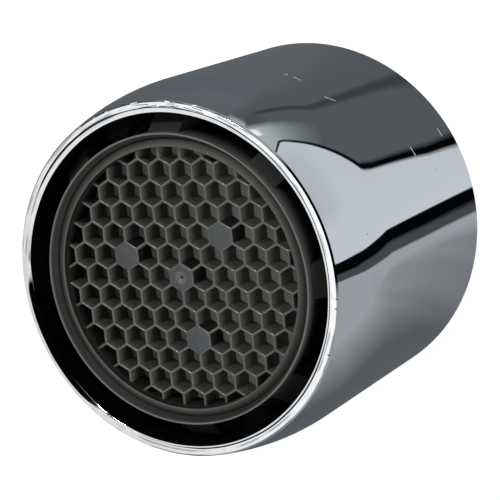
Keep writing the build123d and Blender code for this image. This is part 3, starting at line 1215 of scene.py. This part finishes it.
        # The honeycomb's finish carries painted shade in the depths of its cells.
        cells.run(piece, lattice.values(), palette.take(palette.grey))
        posts = np.array([lattice.centre(*cell)[:2] for cell in lattice.filled])
        self._dress_honeycomb(piece, palette, posts)
        settle(piece, "outlet_honeycomb", self.comb_crease)
        return piece

    def _dress_honeycomb(self, piece: bpy.types.Object, palette: Palette, posts: np.ndarray) -> None:
        """Paints shade on the ring's inner wall and on the walls round the filled cells, gives the level tops
        a darker, cooler copy of the moulding as painted shade and reflection, and gives the ring's slope its
        own finish.

        Args:
            piece: The honeycomb in mm.
            palette: The finishes.
            posts: Centres of the filled cells.
        """
        low, high, inside = self.comb_bottom + 0.02, self.comb_lip_top - 0.1, self.sleeve_bore - 0.06
        outside, flush, foot = self.comb_lip_radius - 0.04, self.comb_top - 1e-4, self.snap_top - 0.1
        gate, reach = 0.4, (self.cell_pitch + self.web) / 2.0 + 0.02

        def in_shade(radius: np.ndarray, places: np.ndarray) -> np.ndarray:
            """Whether a place takes painted shade: on the ring's inner wall or on the walls round a filled
            cell.
            """
            height = places[:, 2]
            apart = np.linalg.norm(places[:, None, :2] - posts, axis=2).min(axis=1)
            beside_post = (apart < reach) & (height > low) & (height < self.comb_top - 0.2)
            return ((radius > inside) & (radius < outside) & (height > low) & (height < high)) | beside_post

        # Painted shade on the ring's inner wall and round the filled cells.
        dress_faces(piece, palette.take(palette.well), in_shade)
        # Painted shade and painted reflection on the honeycomb's level tops.
        cap = palette.take(palette.cap)
        dress_faces(piece, cap, lambda r, p: (r > gate) & (r < inside) & (p[:, 2] > flush))
        # The ring's slope takes a rougher finish with painted shade towards its foot.
        dress_faces(piece, palette.take(palette.slope), lambda r, p: (r >= outside) & (p[:, 2] > foot))

    def build(self, palette: Palette) -> list[bpy.types.Object]:
        """Makes and dresses the insert's pieces.

        Args:
            palette: The finishes.

        Returns:
            The five pieces.
        """
        cells, slots, ribs = HexTree(), SlotTree(RepeatKind.OPENING), SlotTree(RepeatKind.RIB)
        return [
            self._sleeve(palette, slots, ribs),
            self._strainer(palette, cells),
            self._jet_plate(palette, slots),
            self._grid(palette, cells),
            self._honeycomb(palette, cells),
        ]


def strip_faces(steps: int, width: int, closed: bool = False) -> list[tuple[int, ...]]:
    """Faces between neighbouring steps of a strip that has so many points in each step."""
    pairs = [(i * width, (i + 1) % steps * width) for i in range(steps if closed else steps - 1)]
    return [(a + k, a + k + 1, b + k + 1, b + k) for a, b in pairs for k in range(width - 1)]


def card_object(
    name: str, vertices: Sequence[Place], faces: Sequence[tuple[int, ...]], tones: Sequence[Colour],
    covers: Sequence[float], card: bpy.types.Material,
) -> bpy.types.Object:
    """A stage card that only glossy rays see.

    Args:
        name: Name of the card.
        vertices: Places in mm.
        faces: Faces by vertex number.
        tones: Linear tone of each vertex.
        covers: Cover of each vertex, 1 solid and 0 clear.
        card: Material that reads both.

    Returns:
        The card object.
    """
    mesh = bpy.data.meshes.new(name)
    mesh.from_pydata([tuple(axis * MM for axis in place) for place in vertices], [], faces)
    tone = mesh.attributes.new("tone", "FLOAT_COLOR", "POINT")
    tone.data.foreach_set("color", [c for colour in tones for c in (*colour, 1.0)])
    cover = mesh.attributes.new("cover", "FLOAT", "POINT")
    cover.data.foreach_set("value", list(covers))
    mesh.materials.append(card)
    made = linked(name, mesh)
    made.visible_camera = False
    made.visible_diffuse = False
    made.visible_shadow = False
    made.visible_transmission = False
    return made


class Stretch(NamedTuple):
    """One step of a reflector: its left and right points on the floor, in mm, and its cover from 0 to 1."""

    left: Pair
    right: Pair
    cover: float = 1.0


def stretches(*steps: tuple[float, ...]) -> tuple[Stretch, ...]:
    """Steps of a reflector from left x and y, right x and y and, unless it is 1, the cover."""
    return tuple(Stretch(step[:2], step[2:4], *step[4:]) for step in steps)


def ribbon(points: Sequence[Place]) -> tuple[Stretch, ...]:
    """Steps of a narrow reflector along a line of places and half widths, in mm."""
    steps = []
    for index, (x, y, half) in enumerate(points):
        before, after = points[max(index - 1, 0)], points[min(index + 1, len(points) - 1)]
        along = Vector((after[0] - before[0], after[1] - before[1])).normalized() * half
        steps.append(Stretch((x - along.y, y + along.x), (x + along.y, y - along.x)))
    return tuple(steps)


@dataclass(frozen=True)
class Reflector:
    """A flat studio card on the floor that only mirror-like surfaces see, with soft edges."""

    name: str
    height: float
    steps: tuple[Stretch, ...]
    tones: tuple[Colour, Colour]
    blurs: Pair

    def build(self, card: bpy.types.Material) -> None:
        """Makes the card's mesh with its tone and cover attributes."""
        vertices, covers = [], []
        for step in self.steps:
            left, right = Vector(step.left), Vector(step.right)
            across = (right - left).normalized()
            row = (left - across * self.blurs[0], left, right, right + across * self.blurs[1])
            vertices += [(*spot, self.height) for spot in row]
            covers += [0.0, step.cover, step.cover, 0.0]
        one, two = self.tones
        faces = strip_faces(len(self.steps), 4)
        card_object(self.name, vertices, faces, [one, one, two, two] * len(self.steps), covers, card)


class Lamp(NamedTuple):
    """A soft square lamp: heading and rise in degrees, distance and side in mm, radiance, mirroring."""

    name: str
    heading: float
    rise: float
    away: float
    side: float
    radiance: float
    mirrored: bool = True


@dataclass
class Studio:
    """Pale floor, soft lamps, white surroundings and the cards that the plate mirrors."""

    ambient: float = 0.22
    aim_height: float = 18.0
    floor_half: float = 1.5
    floor_level: float = -0.00002
    floor_shade: float = 0.6
    floor_glow: float = 0.62
    white: Colour = (1.04, 1.06, 1.08)
    bright: Colour = linear(240, 243, 246)
    pale: Colour = linear(213, 219, 226)
    pale_shade: Colour = linear(206, 212, 218)
    pale_fall: Colour = linear(190, 196, 203)
    glow: Colour = linear(182, 194, 195)
    mid: Colour = linear(170, 173, 178)
    light: Colour = linear(168, 171, 174)
    half_light: Colour = linear(140, 144, 148)
    left_near: Colour = linear(106, 111, 116)
    left_far: Colour = linear(97, 102, 108)
    slate: Colour = linear(90, 95, 100)
    deep: Colour = linear(92, 96, 101)
    dark: Colour = linear(74, 78, 82)
    smudge: Colour = linear(80, 86, 88)
    seam: Colour = linear(64, 69, 70)
    black: Colour = linear(4, 6, 8)
    mat_radii: Place = (10.5, 88.0, 150.0)
    mat_height: float = 0.02
    round_away: float = 230.0
    screen_away: float = 90.0
    screen_foot: float = 0.1
    screen_soft: float = 5.0
    lamps: tuple[Lamp, ...] = (
        Lamp("key", heading=75.0, rise=22.0, away=300.0, side=110.0, radiance=2.0, mirrored=False),
        Lamp("edge", heading=95.0, rise=52.0, away=300.0, side=36.0, radiance=125.0),
        Lamp("side", heading=-20.0, rise=20.0, away=350.0, side=200.0, radiance=8.8, mirrored=False),
        Lamp("overhead", heading=30.0, rise=78.0, away=350.0, side=160.0, radiance=2.4, mirrored=False),
    )

    def _world(self) -> None:
        """White surroundings that light the part at a plain level."""
        world = bpy.data.worlds.new("surroundings")
        bpy.context.scene.world = world
        world.use_nodes = True
        background = world.node_tree.nodes["Background"]
        background.inputs["Color"].default_value = (1.0, 1.0, 1.0, 1.0)
        bench = NodeBench(world.node_tree)
        bench.feed(background.inputs["Strength"], self._seen(bench, self.ambient, 1.0))

    @staticmethod
    def _seen(bench: NodeBench, unseen: float, seen: float) -> bpy.types.NodeSocket:
        """One value for camera, glossy and transmission rays and another for the rest."""
        ray = bench.add("ShaderNodeLightPath").outputs
        direct = bench.math("MAXIMUM", ray["Is Camera Ray"], ray["Is Glossy Ray"])
        direct = bench.math("MAXIMUM", direct, ray["Is Transmission Ray"])
        return bench.math("MULTIPLY_ADD", direct, seen - unseen, unseen)

    def _floor(self) -> None:
        """Pale floor that keeps the part's shadow."""
        half, level = self.floor_half, self.floor_level
        mesh = bpy.data.meshes.new("floor")
        mesh.from_pydata(
            [(x * half, y * half, level) for x, y in ((-1, -1), (1, -1), (1, 1), (-1, 1))], [], [(0, 1, 2, 3)]
        )
        paint, bench, shader = new_material("floor_paint")
        shader.inputs["Base Color"].default_value = (self.floor_shade,) * 3 + (1.0,)
        shader.inputs["Roughness"].default_value = 1.0
        shader.inputs["Specular IOR Level"].default_value = 0.0
        shader.inputs["Emission Color"].default_value = (1.0, 1.0, 1.0, 1.0)
        bench.feed(shader.inputs["Emission Strength"], self._seen(bench, 0.0, self.floor_glow))
        paint.cycles.emission_sampling = "NONE"
        mesh.materials.append(paint)
        linked("floor", mesh)

    @staticmethod
    def _card_material() -> bpy.types.Material:
        """Card surface with its own tone and soft edge from the mesh's attributes."""
        made, bench, _ = new_material("studio_card")
        made.node_tree.nodes.clear()
        tone = bench.add("ShaderNodeAttribute", attribute_name="tone").outputs["Color"]
        cover = bench.add("ShaderNodeAttribute", attribute_name="cover").outputs["Fac"]
        glow = bench.add("ShaderNodeEmission", {"Color": tone, "Strength": 1.0}).outputs[0]
        clear = bench.add("ShaderNodeBsdfTransparent").outputs[0]
        mixed = bench.add("ShaderNodeMixShader", {0: cover, 1: clear, 2: glow}).outputs[0]
        bench.add("ShaderNodeOutputMaterial", {"Surface": mixed})
        made.cycles.emission_sampling = "NONE"
        return made

    def _mat(self, card: bpy.types.Material) -> None:
        """Lays a slate mat round the part that fades into the pale floor."""
        steps = 96
        headings = (360.0 * step / steps for step in range(steps))
        spots = [outward(heading, 0.0) * radius for heading in headings for radius in self.mat_radii]
        vertices = [(spot.x, spot.y, self.mat_height) for spot in spots]
        faces = strip_faces(steps, len(self.mat_radii), closed=True)
        card_object("slate_mat", vertices, faces, [self.slate] * len(spots), [1.0, 1.0, 0.0] * steps, card)

    def _round_card(
        self, card: bpy.types.Material, name: str, heading: float, rise: float, radii: Pair, tone: Colour,
        lean: float = 0.0,
    ) -> None:
        """Hangs a round card that faces the part.

        Args:
            card: Material of the cards.
            name: Name of the card.
            heading: Direction from +X towards +Y, in degrees.
            rise: Height above the horizon, in degrees.
            radii: Radii in mm of the solid middle and of the soft edge's end.
            tone: Linear tone of the middle.
            lean: Change of the tone's share per mm from the middle upwards.
        """
        steps = 48
        middle = outward(heading, rise) * self.round_away
        level = outward(heading + 90.0, 0.0)
        upright = middle.normalized().cross(level)
        vertices, shares = [tuple(middle)], [1.0]
        for radius in radii:
            for angle in (TURN * step / steps for step in range(steps)):
                across = level * math.cos(angle) + upright * math.sin(angle)
                vertices.append(tuple(middle + across * radius))
                shares.append(max(0.0, 1.0 + lean * radius * math.sin(angle)))
        faces: list[tuple[int, ...]] = []
        for step in range(steps):
            here, after = 1 + step, 1 + (step + 1) % steps
            faces += [(0, here, after), (here, here + steps, after + steps, after)]
        tones = [tuple(share * channel for channel in tone) for share in shares]
        card_object(name, vertices, faces, tones, [1.0] * (1 + steps) + [0.0] * steps, card)

    def _screen(self, card: bpy.types.Material) -> None:
        """Stands a curved screen round the part, which the rim's chamfer and the shoulder mirror."""
        panels = (
            (self.mid, (
                (-150.0, 2.0), (-112.0, 6.0), (-91.0, 10.0), (-68.0, 20.0), (-42.0, 29.0), (-18.0, 34.0),
            )),
            (self.black, ((-11.0, 37.0), (5.0, 41.0), (25.0, 43.0), (48.0, 40.0))),
            (self.light, ((58.0, 34.0), (70.0, 32.0), (84.0, 29.0), (96.0, 24.0))),
            (self.half_light, ((107.0, 19.0),)),
            (self.deep, ((125.0, 11.0), (141.0, 6.0), (155.0, 3.0), (172.0, 1.0), (190.0, 0.5))),
        )
        posts = [(heading, rise, tone) for tone, tops in panels for heading, rise in tops]
        vertices, tones, covers = [], [], []
        for index, (heading, rise, tone) in enumerate(posts):
            spot = outward(heading, 0.0) * self.screen_away
            tops = [math.tan(math.radians(r)) * self.screen_away for r in (rise, rise + self.screen_soft)]
            levels = (self.screen_foot, *(self.aim_height + top for top in tops))
            vertices += [(spot.x, spot.y, level) for level in levels]
            tones += [tone] * len(levels)
            cover = 0.0 if index in (0, len(posts) - 1) else 1.0
            covers += [cover, cover, 0.0]
        card_object("surround", vertices, strip_faces(len(posts), 3), tones, covers, card)

    def _bands(self) -> list[Reflector]:
        """The pale card with its black edge and the two-tone dark band beside it."""
        line = [
            (10.1, 4.57, 0.2), (12.68, 6.33, 0.22), (14.57, 8.24, 0.24), (15.87, 9.58, 0.26),
            (16.35, 10.7, 0.3), (16.65, 14.0, 0.3), (17.15, 21.5, 0.28), (17.8, 29.6, 0.28),
            (18.4, 31.3, 0.26), (24.0, 35.6, 0.2), (48.0, 56.0, 0.3), (66.0, 71.5, 0.3),
        ]
        reach = [10.5, 12.0, 16.0, 20.0, 24.0, 28.0, 32.0, 36.0, 40.0, 45.0, 62.0, 84.0]
        upper = [1.93, 1.83, 1.48, 1.12, 0.48, -0.14, -0.46, -0.88, -1.28, -1.5, -2.3, -3.2]
        middle = [1.45, 1.15, 0.22, -0.42, -1.5, -2.28, -3.3, -3.85, -4.5, -5.3, -8.0, -11.5]
        lower = [0.82, 0.37, -1.1, -2.34, -3.4, -4.46, -5.26, -6.09, -7.06, -8.0, -11.2, -15.4]
        tops, seams, feet = (list(zip(reach, side)) for side in (upper, middle, lower))
        covers = [1.0] * (len(reach) - 1) + [0.0]
        pale, dark, black = (
            tuple(map(Stretch, left, right, covers))
            for left, right in (([spot[:2] for spot in line], tops), (seams, feet), (tops, seams))
        )
        fall = stretches(
            (21.0, 19.0, 27.0, 10.0, 0.0), (24.0, 27.0, 33.0, 13.0, 0.5), (30.0, 36.0, 42.0, 16.0, 0.8),
        )
        edge, branch_end = ribbon(line), 5
        blacks = (self.black, self.black)
        return [
            Reflector("pale_card", 0.04, pale, (self.pale_shade, self.pale), (0.1, 0.1)),
            Reflector("pale_fall", 0.045, fall, (self.pale_fall, self.pale_fall), (6.0, 6.0)),
            Reflector("dark_card", 0.05, dark, (self.dark, self.dark), (0.0, 0.25)),
            Reflector("black_card", 0.055, black, blacks, (0.15, 0.5)),
            Reflector("black_branch", 0.058, edge[:branch_end], blacks, (0.6, 0.4)),
            Reflector("black_edge", 0.06, edge[branch_end - 1:], blacks, (0.3, 0.2)),
        ]

    def _greys(self) -> list[Reflector]:
        """The grey field below the band, which darkens towards the part."""
        left_end, right_end = -14.0, 62.0
        rows = [(1.0, 5.0, 15.5), (-1.0, 5.0, 18.0), (-3.0, 4.2, 21.0), (-5.0, 4.0, 26.0), (-8.0, 8.4, 25.5),
                (-10.0, 10.3, 23.5), (-16.0, 11.5, 26.0), (-22.0, 9.0, 28.5), (-30.0, 7.0, 33.0),
                (-58.0, 14.0, 50.0), (-84.0, 24.0, 56.0)]
        covers = [1.0] * (len(rows) - 1) + [0.0]
        bounds = [(y, (left_end, near, far, right_end)) for y, near, far in rows]
        low, ramp, grey = (
            tuple(Stretch((ends[k], y), (ends[k + 1], y), cover) for (y, ends), cover in zip(bounds, covers))
            for k in range(3)
        )
        wedge = stretches(
            (11.8, -0.2, 12.2, 0.3), (15.2, -1.6, 15.8, -0.9), (18.2, -3.2, 19.4, -2.0),
            (20.4, -4.8, 23.4, -3.1), (22.0, -7.0, 28.4, -4.2, 0.4), (24.0, -9.5, 32.0, -5.0, 0.0),
        )
        return [
            Reflector("grey_low", 0.03, low, (self.deep, self.deep), (12.0, 0.0)),
            Reflector("grey_ramp", 0.03, ramp, (self.deep, self.mid), (0.0, 0.0)),
            Reflector("grey_field", 0.03, grey, (self.mid, self.mid), (0.0, 22.0)),
            Reflector("grey_wedge", 0.035, wedge, (self.mid, self.mid), (1.0, 0.0)),
        ]

    def _far_lights(self) -> list[Reflector]:
        """The seam in the slate and the lights at its far end."""
        seam = ribbon([
            (7.5, 8.0, 0.25), (7.35, 18.0, 0.25), (7.05, 23.0, 0.28), (6.8, 28.0, 0.3), (6.9, 31.0, 0.3),
        ])
        smudge = stretches(
            (6.5, 28.0, 7.6, 28.0, 0.0), (6.4, 30.0, 8.8, 29.4, 0.6), (6.9, 32.6, 10.0, 31.0),
            (8.2, 34.8, 10.8, 33.0), (10.0, 36.5, 11.6, 35.4), (11.6, 39.5, 12.2, 38.8),
        )
        glow = stretches(
            (13.4, 18.0, 16.3, 18.0, 0.0), (13.2, 20.0, 16.6, 20.0, 0.09), (12.9, 24.0, 17.0, 24.0, 0.27),
            (12.7, 28.0, 17.4, 28.0, 0.52), (12.6, 32.0, 18.6, 31.4, 0.84), (12.4, 35.0, 22.0, 34.0, 0.95),
            (11.0, 48.0, 36.0, 46.0), (6.0, 76.0, 62.0, 72.0, 0.0),
        )
        spot = stretches(
            (13.2, 34.8, 15.0, 34.6, 0.0), (12.9, 36.6, 15.2, 36.2), (12.0, 46.0, 15.0, 46.0),
            (11.0, 64.0, 15.0, 64.0, 0.0),
        )
        haze = stretches(
            (5.0, 35.6, 10.0, 35.6, 0.0), (5.5, 37.8, 10.6, 37.4, 0.8), (5.0, 48.0, 10.6, 48.0),
            (3.0, 76.0, 8.0, 76.0, 0.0),
        )
        left = stretches(
            (-40.0, 8.0, 0.5, 8.0, 0.4), (-40.0, 20.0, 1.0, 20.0, 0.4), (-40.0, 28.0, 1.6, 28.0, 0.9),
            (-40.0, 74.0, 2.0, 74.0, 0.0),
        )
        return [
            Reflector("far_left", 0.022, left, (self.left_far, self.left_near), (14.0, 3.0)),
            Reflector("far_haze", 0.03, haze, (self.glow, self.glow), (2.0, 0.6)),
            Reflector("far_seam", 0.032, seam, (self.seam, self.seam), (0.5, 0.6)),
            Reflector("far_smudge", 0.034, smudge, (self.smudge, self.smudge), (1.0, 1.4)),
            Reflector("far_glow", 0.036, glow, (self.glow, self.glow), (2.4, 0.2)),
            Reflector("far_spot", 0.038, spot, (self.white, self.white), (0.8, 0.8)),
        ]

    def _far_side(self) -> list[Reflector]:
        """Matching cards for the side away from the camera."""
        def fan(*rings: tuple[float, float, float, float]) -> tuple[Stretch, ...]:
            """Steps outwards, by radius, first and second heading in degrees, and cover."""
            return tuple(
                Stretch(*(tuple((outward(heading, 0.0) * r).xy) for heading in ends), cover)
                for r, *ends, cover in rings
            )

        reach = ((10.5, 1.0), (16.0, 1.0), (24.0, 1.0), (36.0, 1.0), (62.0, 1.0), (84.0, 0.0))
        beam = fan(*((r, 192.0, 236.0, cover) for r, cover in reach))
        edge = fan(*((r, 236.0, 241.0, cover) for r, cover in reach))
        glow = fan(
            (22.0, 204.0, 224.0, 0.0), (30.0, 198.0, 232.0, 0.4), (39.0, 188.0, 243.0, 1.0),
            (62.0, 178.0, 253.0, 1.0), (92.0, 172.0, 259.0, 0.0),
        )
        return [
            Reflector("back_pale", 0.04, beam, (self.pale, self.pale), (0.3, 0.3)),
            Reflector("back_black", 0.05, edge, (self.black, self.black), (0.2, 0.6)),
            Reflector("back_outer", 0.055, glow, (self.bright, self.bright), (9.0, 9.0)),
        ]

    def _hang(self, lamp: Lamp) -> None:
        """Hangs one soft lamp."""
        side = lamp.side * MM
        data = bpy.data.lights.new(lamp.name, "AREA")
        data.shape = "SQUARE"
        data.size = side
        data.energy = lamp.radiance * math.pi * side * side
        hung = linked(lamp.name, data)
        toward = outward(lamp.heading, lamp.rise)
        hung.location = Vector((0.0, 0.0, self.aim_height * MM)) + toward * lamp.away * MM
        hung.rotation_mode = "QUATERNION"
        hung.rotation_quaternion = (-toward).to_track_quat("-Z", "Y")
        hung.visible_glossy = lamp.mirrored

    def build(self) -> None:
        """Sets the stage and the colour management."""
        bpy.context.scene.view_settings.view_transform = "Standard"
        self._world()
        self._floor()
        card = self._card_material()
        self._mat(card)
        self._screen(card)
        self._round_card(card, "camera_flag", 22.0, 62.0, (112.0, 134.0), self.black)
        self._round_card(card, "top_flag", 72.0, 66.0, (52.0, 70.0), self.black)
        self._round_card(card, "rim_card", 203.0, 58.0, (70.0, 110.0), self.white, 0.008)
        for reflector in self._bands() + self._greys() + self._far_lights() + self._far_side():
            reflector.build(card)
        for lamp in self.lamps:
            self._hang(lamp)
        LOG.info("studio: floor, cards and lamps are set")


@dataclass(frozen=True)
class Viewpoint:
    """The camera: what it looks at, in mm, and how it stands, in degrees."""

    target: Place = (-0.039, -0.308, 10.0)
    distance: float = 127.835
    heading: float = 22.717
    elevation: float = 58.492
    roll: float = 115.348
    lens: float = 140.377
    sensor: float = 36.0

    def build(self) -> bpy.types.Object:
        """Makes the scene's camera.

        Returns:
            The camera object.
        """
        back, lean = outward(self.heading, self.elevation), math.radians(self.roll)
        level = (-back).cross(Vector((0.0, 0.0, 1.0))).normalized()
        upright = level.cross(-back)
        up = upright * math.cos(lean) + level * math.sin(lean)
        right = level * math.cos(lean) - upright * math.sin(lean)
        data = bpy.data.cameras.new("camera")
        data.lens = self.lens
        data.sensor_width = self.sensor
        data.clip_start, data.clip_end = 0.001, 20.0
        camera = linked("camera", data)
        place = (Vector(self.target) + back * self.distance) * MM
        camera.matrix_world = Matrix.Translation(place) @ Matrix((right, up, back)).transposed().to_4x4()
        bpy.context.scene.camera = camera
        return camera


def main() -> None:
    """Builds the part's pieces, then the studio and the camera."""
    logging.basicConfig(level=logging.INFO, format="%(name)s %(message)s")
    _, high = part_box("shell")
    palette = Palette()
    Shell(body_radius=high.x / MM, length=high.z / MM).build(palette)
    Washer().build(palette)
    Insert().build(palette)
    Studio().build()
    Viewpoint().build()


if __name__ == "__main__":
    main()
